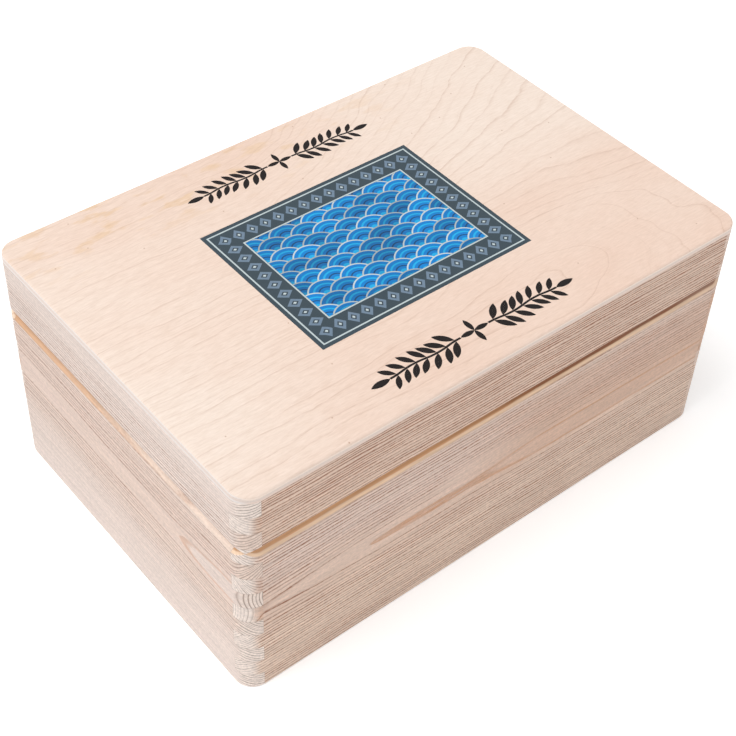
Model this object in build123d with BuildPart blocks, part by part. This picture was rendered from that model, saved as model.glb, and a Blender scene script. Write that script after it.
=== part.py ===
from build123d import *
from math import ceil, radians, tan
import os

# Hinged keepsake box of finger jointed pine with a plywood top and bottom.
# Frame: +X along the length, +Y to the back where the hinges are, +Z up.
# Origin: middle of the footprint, on the surface that the box stands on.
# All sizes are in millimetres.

# Overall size of the closed box
box_length = 300.0
box_depth = 198.0
box_height = 133.0
corner_radius = 10.0

# Pine carcass, glued up whole and then sawn apart into body and lid
wall_thickness = 9.5
finger_pitch = 10.0
foot_round = 0.8
seam_height = 97.2
rim_gap = 0.3

# Grip groove: one straight V pass along each side, centred on the seam
groove_depth = 3.0
groove_half_opening = 3.0
groove_edge_ease = 0.35

# Plywood top, glued on and trimmed flush
lid_top_thickness = 4.0
lid_edge_round = 1.4

# Plywood bottom, glued into a rebate from below
bottom_thickness = 4.0
bottom_recess = 1.0
rebate_width = 4.5
rebate_corner_radius = 6.0
bottom_clearance = 0.15

# Butt hinges, let into both rims. The lid stops where the groove's outer edges meet,
# a little past the angle that it opens to in use.
lid_opening_angle = 110.0
stop_margin_angle = 2.6
hinge_inset = 62.0
hinge_length = 25.0
leaf_inner_margin = 0.5
leaf_thickness = 0.8
leaf_corner_radius = 0.8
knuckle_radius = 1.5
knuckle_count = 5
knuckle_end_gap = 0.15
knuckle_wood_gap = 0.3
pin_radius = 0.7
pin_clearance = 0.05
pin_overhang = 0.15
pin_end_chamfer = 0.2
mortise_clearance = 0.15

# Countersunk screws that hold the leaves
screw_spacing = 15.0
screw_radius = 1.0
screw_head_margin = 0.05
screw_length = 8.0
screw_tip_length = 2.0
screw_tip_radius = 0.2
screw_clearance = 0.05
recess_width = 0.45
recess_span = 1.9
recess_depth = 0.5
pilot_extra_depth = 0.5

# Places that follow from the sizes above
carcass_height = box_height - lid_top_thickness
body_top = seam_height - rim_gap / 2
lid_low = seam_height + rim_gap / 2
inner_length = box_length - 2 * wall_thickness
inner_depth = box_depth - 2 * wall_thickness
rebate_length = inner_length + 2 * rebate_width
rebate_depth = inner_depth + 2 * rebate_width
stop_angle = lid_opening_angle + stop_margin_angle
pin_inset = groove_half_opening / tan(radians(stop_angle / 2))
pin_y = box_depth / 2 - pin_inset
leaf_depth = wall_thickness - pin_inset - leaf_inner_margin
barrel_room = knuckle_radius + knuckle_wood_gap
screw_y = pin_y - (barrel_room + leaf_depth) / 2
head_depth = leaf_thickness - screw_head_margin
screw_head_radius = screw_radius + head_depth
knuckle_length = hinge_length / knuckle_count
countersink_angle = 90.0
recess_length = hinge_length + 2 * (pin_overhang + mortise_clearance)


def finger_spans(first, low, high):
    """Heights of every second finger, clipped to the stretch from low to high."""
    count = ceil(carcass_height / finger_pitch)
    spans = []
    for index in range(first, count, 2):
        bottom = max(index * finger_pitch, low)
        top = min((index + 1) * finger_pitch, carcass_height, high)
        if top > bottom:
            spans.append((bottom, top))
    return spans


# Outer form that all eight pine pieces are cut to
with BuildPart() as carcass_form:
    with BuildSketch():
        RectangleRounded(box_length, box_depth, corner_radius)
    extrude(amount=carcass_height)
    fillet(carcass_form.faces().sort_by(Axis.Z)[0].edges(), foot_round)
    # Rebate for the bottom panel
    with BuildSketch():
        RectangleRounded(rebate_length, rebate_depth, rebate_corner_radius)
    extrude(amount=bottom_recess + bottom_thickness, mode=Mode.SUBTRACT)
    # Grip groove passes along the two long sides, then along the two short ones
    for plane, reach, run in (
        (Plane.YZ, box_depth / 2, box_length),
        (Plane.XZ, box_length / 2, box_depth),
    ):
        with BuildSketch(plane.offset(-run / 2 - 1)):
            for side in (-1, 1):
                face = side * reach
                outside = face + side
                eased = face - side * groove_edge_ease
                apex = face - side * groove_depth
                wide = groove_half_opening + groove_edge_ease
                narrow = groove_half_opening - groove_edge_ease
                Polygon(
                    (outside, seam_height + wide),
                    (face, seam_height + wide),
                    (eased, seam_height + narrow),
                    (apex, seam_height),
                    (eased, seam_height - narrow),
                    (face, seam_height - wide),
                    (outside, seam_height - wide),
                    align=None,
                )
        extrude(amount=run + 2, mode=Mode.SUBTRACT)


def hinge_centres():
    """Places of the two hinges along the length."""
    reach = box_length / 2 - hinge_inset
    return {"left": -reach, "right": reach}


def pine_piece(side, low, high):
    """One side of the carcass between two heights, with the fingers that it owns."""
    long_side = side in ("front", "back")
    if long_side:
        short_size = (inner_length, wall_thickness)
        full_size = (box_length, wall_thickness)
        reach = box_depth / 2 - wall_thickness / 2
        centre = (0, reach if side == "back" else -reach)
    else:
        short_size = (wall_thickness, inner_depth)
        full_size = (wall_thickness, box_depth)
        reach = box_length / 2 - wall_thickness / 2
        centre = (reach if side == "right" else -reach, 0)
    with BuildPart() as piece:
        with BuildSketch(Plane.XY.offset(low)):
            with Locations(centre):
                Rectangle(*short_size)
        extrude(amount=high - low)
        for bottom, top in finger_spans(1 if long_side else 0, low, high):
            with BuildSketch(Plane.XY.offset(bottom)):
                with Locations(centre):
                    Rectangle(*full_size)
            extrude(amount=top - bottom)
        add(carcass_form.part, mode=Mode.INTERSECT)
    return piece


def cut_hinge_seats(piece, facing):
    """Mortises, barrel scoops and pilot holes; facing is 1 for the body, -1 for the lid."""
    rim = seam_height - facing * rim_gap / 2
    with BuildPart() as seated:
        add(piece.part)
        for centre_x in hinge_centres().values():
            # Mortise for the leaf, as deep as the leaf is thick
            with BuildSketch(Plane.XY.offset(rim - facing * leaf_thickness)):
                with Locations((centre_x, pin_y - leaf_depth / 2 - mortise_clearance / 2)):
                    Rectangle(recess_length, leaf_depth + mortise_clearance)
            extrude(amount=facing * (leaf_thickness + rim_gap), mode=Mode.SUBTRACT)
            # Scoop for the barrel
            with BuildSketch(Plane.YZ.offset(centre_x - recess_length / 2)):
                with Locations((pin_y, seam_height)):
                    Circle(barrel_room)
            extrude(amount=recess_length, mode=Mode.SUBTRACT)
            # Pilot holes for the screws
            with BuildSketch(Plane.XY.offset(rim)):
                with Locations((centre_x, screw_y)):
                    with GridLocations(screw_spacing, 0, 2, 1):
                        Circle(screw_radius + screw_clearance)
            extrude(amount=-facing * (screw_length + pilot_extra_depth), mode=Mode.SUBTRACT)
    return seated


def hinge_leaf(centre_x, facing):
    """One leaf with its knuckles; facing is 1 for the body leaf, -1 for the lid leaf."""
    rim = seam_height - facing * rim_gap / 2
    start_x = centre_x - hinge_length / 2
    with BuildPart() as leaf:
        # Plate, flush with the rim
        with BuildSketch(Plane.XY.offset(rim)):
            with Locations((centre_x, pin_y - leaf_depth / 2)):
                Rectangle(hinge_length, leaf_depth)
        extrude(amount=-facing * leaf_thickness)
        inner_corners = leaf.edges().filter_by(Axis.Z).group_by(Axis.Y)[0]
        fillet(inner_corners, leaf_corner_radius)
        for index in range(knuckle_count):
            own = (index % 2 == 0) == (facing == 1)
            knuckle_x = start_x + index * knuckle_length
            if own:
                # Rolled knuckle, short of its stretch at each end
                with BuildSketch(Plane.YZ.offset(knuckle_x + knuckle_end_gap / 2)):
                    with Locations((pin_y, seam_height)):
                        Circle(knuckle_radius)
                extrude(amount=knuckle_length - knuckle_end_gap)
        for index in range(knuckle_count):
            own = (index % 2 == 0) == (facing == 1)
            knuckle_x = start_x + index * knuckle_length
            if not own:
                # Room for the other leaf's knuckle
                with BuildSketch(Plane.YZ.offset(knuckle_x - knuckle_end_gap / 2)):
                    with Locations((pin_y, seam_height)):
                        Circle(barrel_room)
                extrude(amount=knuckle_length + knuckle_end_gap, mode=Mode.SUBTRACT)
        # Bore for the pin, right through the barrel
        with BuildSketch(Plane.YZ.offset(start_x)):
            with Locations((pin_y, seam_height)):
                Circle(pin_radius + pin_clearance)
        extrude(amount=hinge_length, mode=Mode.SUBTRACT)
        # Countersunk screw holes
        turn = 0 if facing == 1 else 180
        with Locations(Location((centre_x, screw_y, rim), (turn, 0, 0))):
            with GridLocations(screw_spacing, 0, 2, 1):
                CounterSinkHole(
                    radius=screw_radius + screw_clearance,
                    counter_sink_radius=screw_head_radius + screw_clearance,
                    depth=leaf_thickness,
                    counter_sink_angle=countersink_angle,
                )
    return leaf


def hinge_pin(centre_x):
    """Pin through the five knuckles of one hinge."""
    length = hinge_length + 2 * pin_overhang
    with BuildPart() as pin:
        with BuildSketch(Plane.YZ.offset(centre_x - length / 2)):
            with Locations((pin_y, seam_height)):
                Circle(pin_radius)
        extrude(amount=length)
        chamfer(pin.edges().filter_by(GeomType.CIRCLE), pin_end_chamfer)
    return pin


def leaf_screws(centre_x, facing):
    """The two screws of one leaf, with their heads flush in its countersinks."""
    rim = seam_height - facing * rim_gap / 2
    with BuildPart() as screws:
        for side in (-1, 1):
            place = (centre_x + side * screw_spacing / 2, screw_y, rim)
            head = Plane(origin=place, x_dir=(1, 0, 0), z_dir=(0, 0, facing))
            profile = Plane(origin=place, x_dir=(1, 0, 0), z_dir=(0, -facing, 0))
            with BuildSketch(profile):
                Polygon(
                    (0, 0),
                    (screw_head_radius, 0),
                    (screw_radius, -head_depth),
                    (screw_radius, -(screw_length - screw_tip_length)),
                    (screw_tip_radius, -screw_length),
                    (0, -screw_length),
                    align=None,
                )
            revolve(axis=Axis(place, (0, 0, 1)))
            # Cross recess
            with BuildSketch(head):
                Rectangle(recess_span, recess_width)
                Rectangle(recess_width, recess_span)
            extrude(amount=-recess_depth, mode=Mode.SUBTRACT)
    return screws


# Body walls, from the standing surface up to the seam
with BuildPart() as body_front_wall:
    add(pine_piece("front", 0, body_top).part)

with BuildPart() as body_back_wall:
    add(cut_hinge_seats(pine_piece("back", 0, body_top), 1).part)

with BuildPart() as body_left_wall:
    add(pine_piece("left", 0, body_top).part)

with BuildPart() as body_right_wall:
    add(pine_piece("right", 0, body_top).part)

# Bottom panel, lying against the ceiling of its rebate
with BuildPart() as body_bottom_panel:
    with BuildSketch(Plane.XY.offset(bottom_recess)):
        RectangleRounded(
            rebate_length - 2 * bottom_clearance,
            rebate_depth - 2 * bottom_clearance,
            rebate_corner_radius - bottom_clearance,
        )
    extrude(amount=bottom_thickness)

# Lid rails, from the seam up to the underside of the plywood
with BuildPart() as lid_front_rail:
    add(pine_piece("front", lid_low, carcass_height).part)

with BuildPart() as lid_back_rail:
    add(cut_hinge_seats(pine_piece("back", lid_low, carcass_height), -1).part)

with BuildPart() as lid_left_rail:
    add(pine_piece("left", lid_low, carcass_height).part)

with BuildPart() as lid_right_rail:
    add(pine_piece("right", lid_low, carcass_height).part)

# Plywood top with its upper edge rounded over
with BuildPart() as lid_top_panel:
    with BuildSketch(Plane.XY.offset(carcass_height)):
        RectangleRounded(box_length, box_depth, corner_radius)
    extrude(amount=lid_top_thickness)
    fillet(lid_top_panel.faces().sort_by(Axis.Z)[-1].edges(), lid_edge_round)

pieces = {
    "body_front_wall": body_front_wall,
    "body_back_wall": body_back_wall,
    "body_left_wall": body_left_wall,
    "body_right_wall": body_right_wall,
    "body_bottom_panel": body_bottom_panel,
    "lid_front_rail": lid_front_rail,
    "lid_back_rail": lid_back_rail,
    "lid_left_rail": lid_left_rail,
    "lid_right_rail": lid_right_rail,
    "lid_top_panel": lid_top_panel,
}

# Two hinges, each with two leaves, a pin and the screws of each leaf
for hinge_name, centre in hinge_centres().items():
    pieces[hinge_name + "_hinge_body_leaf"] = hinge_leaf(centre, 1)
    pieces[hinge_name + "_hinge_lid_leaf"] = hinge_leaf(centre, -1)
    pieces[hinge_name + "_hinge_pin"] = hinge_pin(centre)
    pieces[hinge_name + "_hinge_body_screws"] = leaf_screws(centre, 1)
    pieces[hinge_name + "_hinge_lid_screws"] = leaf_screws(centre, -1)

os.makedirs("parts", exist_ok=True)
for name, piece in pieces.items():
    piece.part.label = name
    export_step(piece.part, "parts/" + name + ".step")
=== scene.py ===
"""Finish of a hinged pine keepsake box with a printed plywood lid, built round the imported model."""

from math import cos, pi, radians, sin

import bmesh
import bpy
from bpy.props import FloatProperty, FloatVectorProperty, PointerProperty
from mathutils import Matrix, Vector


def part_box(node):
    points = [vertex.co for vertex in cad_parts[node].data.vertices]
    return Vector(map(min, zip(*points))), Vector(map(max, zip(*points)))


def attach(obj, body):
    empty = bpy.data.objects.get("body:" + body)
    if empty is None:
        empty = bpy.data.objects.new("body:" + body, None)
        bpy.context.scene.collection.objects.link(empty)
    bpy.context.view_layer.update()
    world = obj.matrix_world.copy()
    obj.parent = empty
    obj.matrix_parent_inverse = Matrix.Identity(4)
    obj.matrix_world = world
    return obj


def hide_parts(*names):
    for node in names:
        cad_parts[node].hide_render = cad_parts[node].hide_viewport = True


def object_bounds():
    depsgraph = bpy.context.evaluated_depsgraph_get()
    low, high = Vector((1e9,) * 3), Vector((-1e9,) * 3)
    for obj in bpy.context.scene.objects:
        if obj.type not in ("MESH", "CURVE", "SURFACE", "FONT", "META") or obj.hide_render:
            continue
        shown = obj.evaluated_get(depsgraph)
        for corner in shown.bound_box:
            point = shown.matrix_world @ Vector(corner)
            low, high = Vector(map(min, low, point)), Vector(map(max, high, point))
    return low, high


bl_info = {
    "name": "Pine keepsake box",
    "version": (1, 0, 0),
    "blender": (4, 5, 0),
    "location": "View3D > Sidebar > Keepsake Box",
    "description": "Finishes a hinged pine box with a printed plywood lid",
    "category": "Object",
}

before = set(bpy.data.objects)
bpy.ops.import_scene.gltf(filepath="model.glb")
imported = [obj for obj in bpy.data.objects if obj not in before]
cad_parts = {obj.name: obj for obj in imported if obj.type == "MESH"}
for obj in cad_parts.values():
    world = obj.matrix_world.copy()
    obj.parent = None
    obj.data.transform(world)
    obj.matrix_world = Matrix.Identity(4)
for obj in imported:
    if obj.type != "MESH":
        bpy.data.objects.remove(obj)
cad_low, cad_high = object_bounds()

MM = 0.001
LID = "lid"

# Places taken from the frame, in millimetres
BOX_LENGTH = (cad_high.x - cad_low.x) / MM
BOX_DEPTH = (cad_high.y - cad_low.y) / MM
BOX_HEIGHT = (cad_high.z - cad_low.z) / MM
BODY_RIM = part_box("body_front_wall")[1].z / MM
LID_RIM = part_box("lid_front_rail")[0].z / MM
SEAM = (BODY_RIM + LID_RIM) / 2
WALL = (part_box("body_front_wall")[1].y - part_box("body_front_wall")[0].y) / MM
BOTTOM_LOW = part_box("body_bottom_panel")[0].z / MM
BOTTOM_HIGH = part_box("body_bottom_panel")[1].z / MM


def size_property(name, description, default, low=0.0):
    """A length in metres, given in millimetres."""
    texts = {"name": name, "description": description}
    return FloatProperty(**texts, default=default * MM, min=low, subtype="DISTANCE", unit="LENGTH")


def angle_property(name, description, degrees):
    """An angle, given in degrees."""
    return FloatProperty(name=name, description=description, default=radians(degrees), subtype="ANGLE")


def level_property(name, description, default):
    """A plain number, not below 0."""
    return FloatProperty(name=name, description=description, default=default, min=0.0)


def colour_property(name, description, red, green, blue):
    """A colour given as it looks on screen, from 0 to 255, and kept as linear light."""
    return FloatVectorProperty(
        name=name,
        description=description,
        default=tuple(screen_to_linear(value / 255) for value in (red, green, blue)),
        min=0.0,
        max=1.0,
        size=3,
        subtype="COLOR",
    )


def screen_to_linear(value):
    """Linear light of one colour value from 0 to 1."""
    if value <= 0.04045:
        return value / 12.92
    return ((value + 0.055) / 1.055) ** 2.4


class BoardFinish(bpy.types.PropertyGroup):
    """Pine of the walls and rails."""

    early: colour_property("Early wood", "Pale wood between the ring lines", 238, 214, 194)
    blush: colour_property("Blush", "Pinker wood in the broad bands", 229, 204, 192)
    pale: colour_property("Pale wood", "Greyer wood towards the foot and the rim", 236, 221, 213)
    amber: colour_property("Amber", "Resin-rich streaks where a ring lies flat", 200, 146, 108)
    late: colour_property("Late wood", "Dark side of each ring line", 134, 68, 10)
    end_early: colour_property("End early wood", "Pale wood on the end grain", 247, 232, 222)
    end_late: colour_property("End late wood", "Ring lines on the end grain", 112, 82, 66)
    groove_lip: colour_property("Groove lip", "Pale wood along the mouth of the grip groove", 251, 220, 189)
    # Partly fresh-cut wood and partly painted warm shade from light bounced inside the grip groove
    groove: colour_property("Groove", "Warm fresh wood in the grip groove", 214, 165, 120)
    # Painted shade: dark brown that stands for the shade at the bottom of the grip groove
    groove_depth_shade: colour_property("Groove burn", "Cutter burn in the bottom of the groove", 124, 61, 10)
    joint: colour_property("Joint line", "Hairline between two fingers", 120, 92, 76)
    finger_pitch: size_property("Finger height", "Height of one finger of the corner joints", 10.0)
    corner_radius: size_property("Corner radius", "Radius of the carcass corners, seen from above", 10.0)


class PlywoodFinish(bpy.types.PropertyGroup):
    """Birch plywood of the top and the bottom."""

    face: colour_property("Face veneer", "Pale birch of the face", 243, 225, 211)
    blush: colour_property("Blush", "Pinker clouds in the face veneer", 236, 207, 189)
    line: colour_property("Grain line", "Thin brown lines of the face veneer", 180, 138, 108)
    amber: colour_property("Amber", "Warm blotches in the face veneer", 232, 200, 168)
    long_ply: colour_property("Long grain ply", "Edges of the face veneers along their grain", 241, 219, 206)
    end_ply: colour_property("End grain ply", "Edges of the face veneers across their grain", 241, 231, 226)
    core_ply: colour_property("Core ply", "Edge of the core veneer", 234, 217, 207)
    corner_radius: size_property("Corner radius", "Radius of the panel's corners", 10.0)
    edge_round: size_property("Edge round", "Radius of the panel's upper edge", 1.4)


class PrintFinish(bpy.types.PropertyGroup):
    """Ink on the lid."""

    thickness: size_property("Ink thickness", "Height of the ink above the veneer", 0.04)
    panel_length: size_property("Panel length", "Length of the printed panel", 126.0)
    panel_depth: size_property("Panel depth", "Depth of the printed panel", 95.0)
    blue: colour_property("Blue", "Ground of the scale pattern", 4, 124, 199)
    deep: colour_property("Deep blue", "Dark rings of the scale pattern", 10, 72, 122)
    turquoise: colour_property("Turquoise", "Light rings of the scale pattern", 30, 169, 224)
    slate: colour_property("Slate", "Ground of the border", 54, 69, 78)
    grey: colour_property("Blue grey", "Lozenges of the border", 112, 132, 152)
    pale: colour_property("Pale", "Thin lines of the border and the scales", 196, 208, 210)
    black: colour_property("Black", "Ink of the two ornaments", 26, 21, 21)


class HardwareFinish(bpy.types.PropertyGroup):
    """Hinges and screws."""

    plated: colour_property("Plating", "Yellow plating of the leaves", 214, 178, 98)
    bright: colour_property("Bright steel", "Bare steel of the pins", 176, 172, 166)
    tarnish: colour_property("Tarnish", "Duller plating in patches", 168, 128, 64)


class StudioSettings(bpy.types.PropertyGroup):
    """Floor, lights and camera."""

    focal_length: level_property("Focal length", "Camera lens, in millimetres", 74.05)
    azimuth: angle_property("Azimuth", "Camera's turn round the box", -41.14)
    elevation: angle_property("Elevation", "Camera's height above the horizon", 44.39)
    roll: angle_property("Roll", "Camera's tilt", 2.94)
    distance: size_property("Distance", "Camera to the point that it looks at", 766.8)
    aim_height: size_property("Aim height", "Height of the point that the camera looks at", 70.0)
    aim_right: size_property("Aim right", "Shift of that point to the right", -1.7, low=-1.0)
    aim_up: size_property("Aim up", "Shift of that point upwards", -19.1, low=-1.0)
    floor: colour_property("Floor", "Pale floor and backdrop", 250, 250, 250)
    floor_size: size_property("Floor size", "Width of the floor", 12000.0)
    key_power: level_property("Key power", "Large lamp on the left, in watts", 43.0)
    fill_power: level_property("Fill power", "Large lamp in front, in watts", 7.0)
    sky: level_property("Sky", "Strength of the even light from all round", 0.49)


def one_step(operation):
    """A method that adds one arithmetic node, fed by the field itself and then by the other values."""

    def step(self, *others, clamp=False):
        return self.sheet.math(operation, self, *others, clamp=clamp)

    return step


class Field:
    """A number at every point of a surface. Arithmetic and comparisons on it add nodes to its sheet."""

    def __init__(self, sheet, socket):
        self.sheet = sheet
        self.socket = socket

    __add__ = one_step("ADD")
    __sub__ = one_step("SUBTRACT")
    __mul__ = one_step("MULTIPLY")
    __pow__ = one_step("POWER")
    __lt__ = one_step("LESS_THAN")
    __gt__ = one_step("GREATER_THAN")
    __abs__ = one_step("ABSOLUTE")
    plus = one_step("ADD")
    times = one_step("MULTIPLY")
    at_least = one_step("MAXIMUM")
    at_most = one_step("MINIMUM")
    root = one_step("SQRT")
    floor = one_step("FLOOR")
    rounded = one_step("ROUND")
    fraction = one_step("FRACT")
    wrap = one_step("WRAP")

    def __rsub__(self, other):
        return self.sheet.math("SUBTRACT", other, self)

    def span(self, low, high, to_low=0.0, to_high=1.0, kind="SMOOTHSTEP"):
        """Maps a range to another with soft ends, clamped."""
        inputs = {0: self, 1: low, 2: high, 3: to_low, 4: to_high}
        return self.sheet.field("ShaderNodeMapRange", inputs, interpolation_type=kind)

    def linear(self, low, high, to_low=0.0, to_high=1.0):
        """Maps a range to another in a straight line, clamped."""
        return self.span(low, high, to_low, to_high, "LINEAR")

    def ramp(self, stops, interpolation="LINEAR"):
        """A grey or coloured ramp from (place, value) stops."""
        made = self.sheet.node("ShaderNodeValToRGB", {0: self})
        made.color_ramp.interpolation = interpolation
        elements = made.color_ramp.elements
        while len(elements) < len(stops):
            elements.new(0.5)
        for element, (place, shade) in zip(elements, stops):
            element.position = place
            element.color = (*shade, 1.0) if hasattr(shade, "__len__") else (shade, shade, shade, 1.0)
        return Field(self.sheet, made.outputs[0])

    def profile(self, stops, interpolation="LINEAR"):
        """A value that follows (place, value) stops, such as a strength that changes along a board."""
        first, last = stops[0][0], stops[-1][0]
        levels = [level for _, level in stops]
        low, high = min(levels), max(levels)
        shares = [((place - first) / (last - first), (level - low) / (high - low)) for place, level in stops]
        return self.linear(first, last).ramp(shares, interpolation) * (high - low) + low

    def curve(self, stops):
        """The same as a smooth curve."""
        return self.profile(stops, "CARDINAL")


def distance(a, b):
    """Distance from two legs at right angles."""
    return (a * a + b * b).root()


class NodeSheet:
    """A material under construction: adds nodes, takes fields, sockets or plain values, and joins them."""

    def __init__(self, name):
        self.material = bpy.data.materials.new(name)
        self.material.use_nodes = True
        self.tree = self.material.node_tree
        self.tree.nodes.clear()
        self.output = self.tree.nodes.new("ShaderNodeOutputMaterial")
        self.object_mm = None

    def put(self, value, socket):
        """Joins a socket to another, or sets it to a value."""
        if isinstance(value, Field):
            value = value.socket
        if isinstance(value, bpy.types.NodeSocket):
            self.tree.links.new(value, socket)
        elif socket.type == "RGBA" and len(value) == 3:
            socket.default_value = (*value, 1.0)
        else:
            socket.default_value = value

    def node(self, kind, inputs, **settings):
        """Adds one node with its settings and inputs."""
        made = self.tree.nodes.new(kind)
        for name, value in settings.items():
            setattr(made, name, value)
        for key, value in inputs.items():
            self.put(value, made.inputs[key])
        return made

    def field(self, kind, inputs, **settings):
        """Adds one node and gives its first output."""
        return Field(self, self.node(kind, inputs, **settings).outputs[0])

    def math(self, operation, *values, clamp=False):
        """One arithmetic step."""
        return self.field("ShaderNodeMath", dict(enumerate(values)), operation=operation, use_clamp=clamp)

    def blend(self, factor, a, b, mode="MIX"):
        """Mixes two colours."""
        made = self.node("ShaderNodeMix", {}, data_type="RGBA", blend_type=mode)
        for value, place in ((factor, 0), (a, 6), (b, 7)):
            self.put(value, made.inputs[place])
        return made.outputs[2]

    def shade(self, colour, *light):
        """A colour times one number, or times one number for each of its channels."""
        return self.blend(1.0, colour, self.vector(*(light * 3)[:3]), mode="MULTIPLY")

    def vector(self, x, y, z):
        """A vector from three values."""
        return self.field("ShaderNodeCombineXYZ", {0: x, 1: y, 2: z})

    def noise(self, *place, detail=3.0, roughness=0.5):
        """Smooth noise from 0 to 1, along one value or through the space of three."""
        inputs = {"Scale": 1.0, "Detail": detail, "Roughness": roughness}
        if len(place) == 1:
            return self.field("ShaderNodeTexNoise", {"W": place[0], **inputs}, noise_dimensions="1D")
        return self.field("ShaderNodeTexNoise", {"Vector": self.vector(*place), **inputs})

    def chance(self, value):
        """A fixed random number for each whole value."""
        return self.field("ShaderNodeTexWhiteNoise", {"W": value}, noise_dimensions="1D")

    def split(self, kind, value):
        """The three parts of a vector or a colour."""
        return [Field(self, part) for part in self.node(kind, {0: value}).outputs]

    def places(self):
        """Object coordinates in millimetres, as x, y and z."""
        if self.object_mm is None:
            coordinates = self.node("ShaderNodeTexCoord", {}).outputs["Object"]
            self.object_mm = [part * (1 / MM) for part in self.split("ShaderNodeSeparateXYZ", coordinates)]
        return self.object_mm

    def facing(self, axis):
        """How squarely the surface faces along one of the object's own axes, from 0 to 1."""
        normal = self.node("ShaderNodeNewGeometry", {}).outputs["Normal"]
        spaces = {"vector_type": "NORMAL", "convert_from": "WORLD", "convert_to": "OBJECT"}
        local = self.field("ShaderNodeVectorTransform", {0: normal}, **spaces)
        return abs(self.split("ShaderNodeSeparateXYZ", local)[axis])

    def surface(self, colour, roughness, height, bump, depth, **extra):
        """Ends the sheet with a shader that has a fine relief."""
        relief = self.field("ShaderNodeBump", {"Strength": bump, "Distance": depth, "Height": height})
        inputs = {"Base Color": colour, "Roughness": roughness, "Normal": relief}
        for name, value in extra.items():
            inputs[name.replace("_", " ")] = value
        self.put(self.field("ShaderNodeBsdfPrincipled", inputs), self.output.inputs[0])
        return self.material
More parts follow.
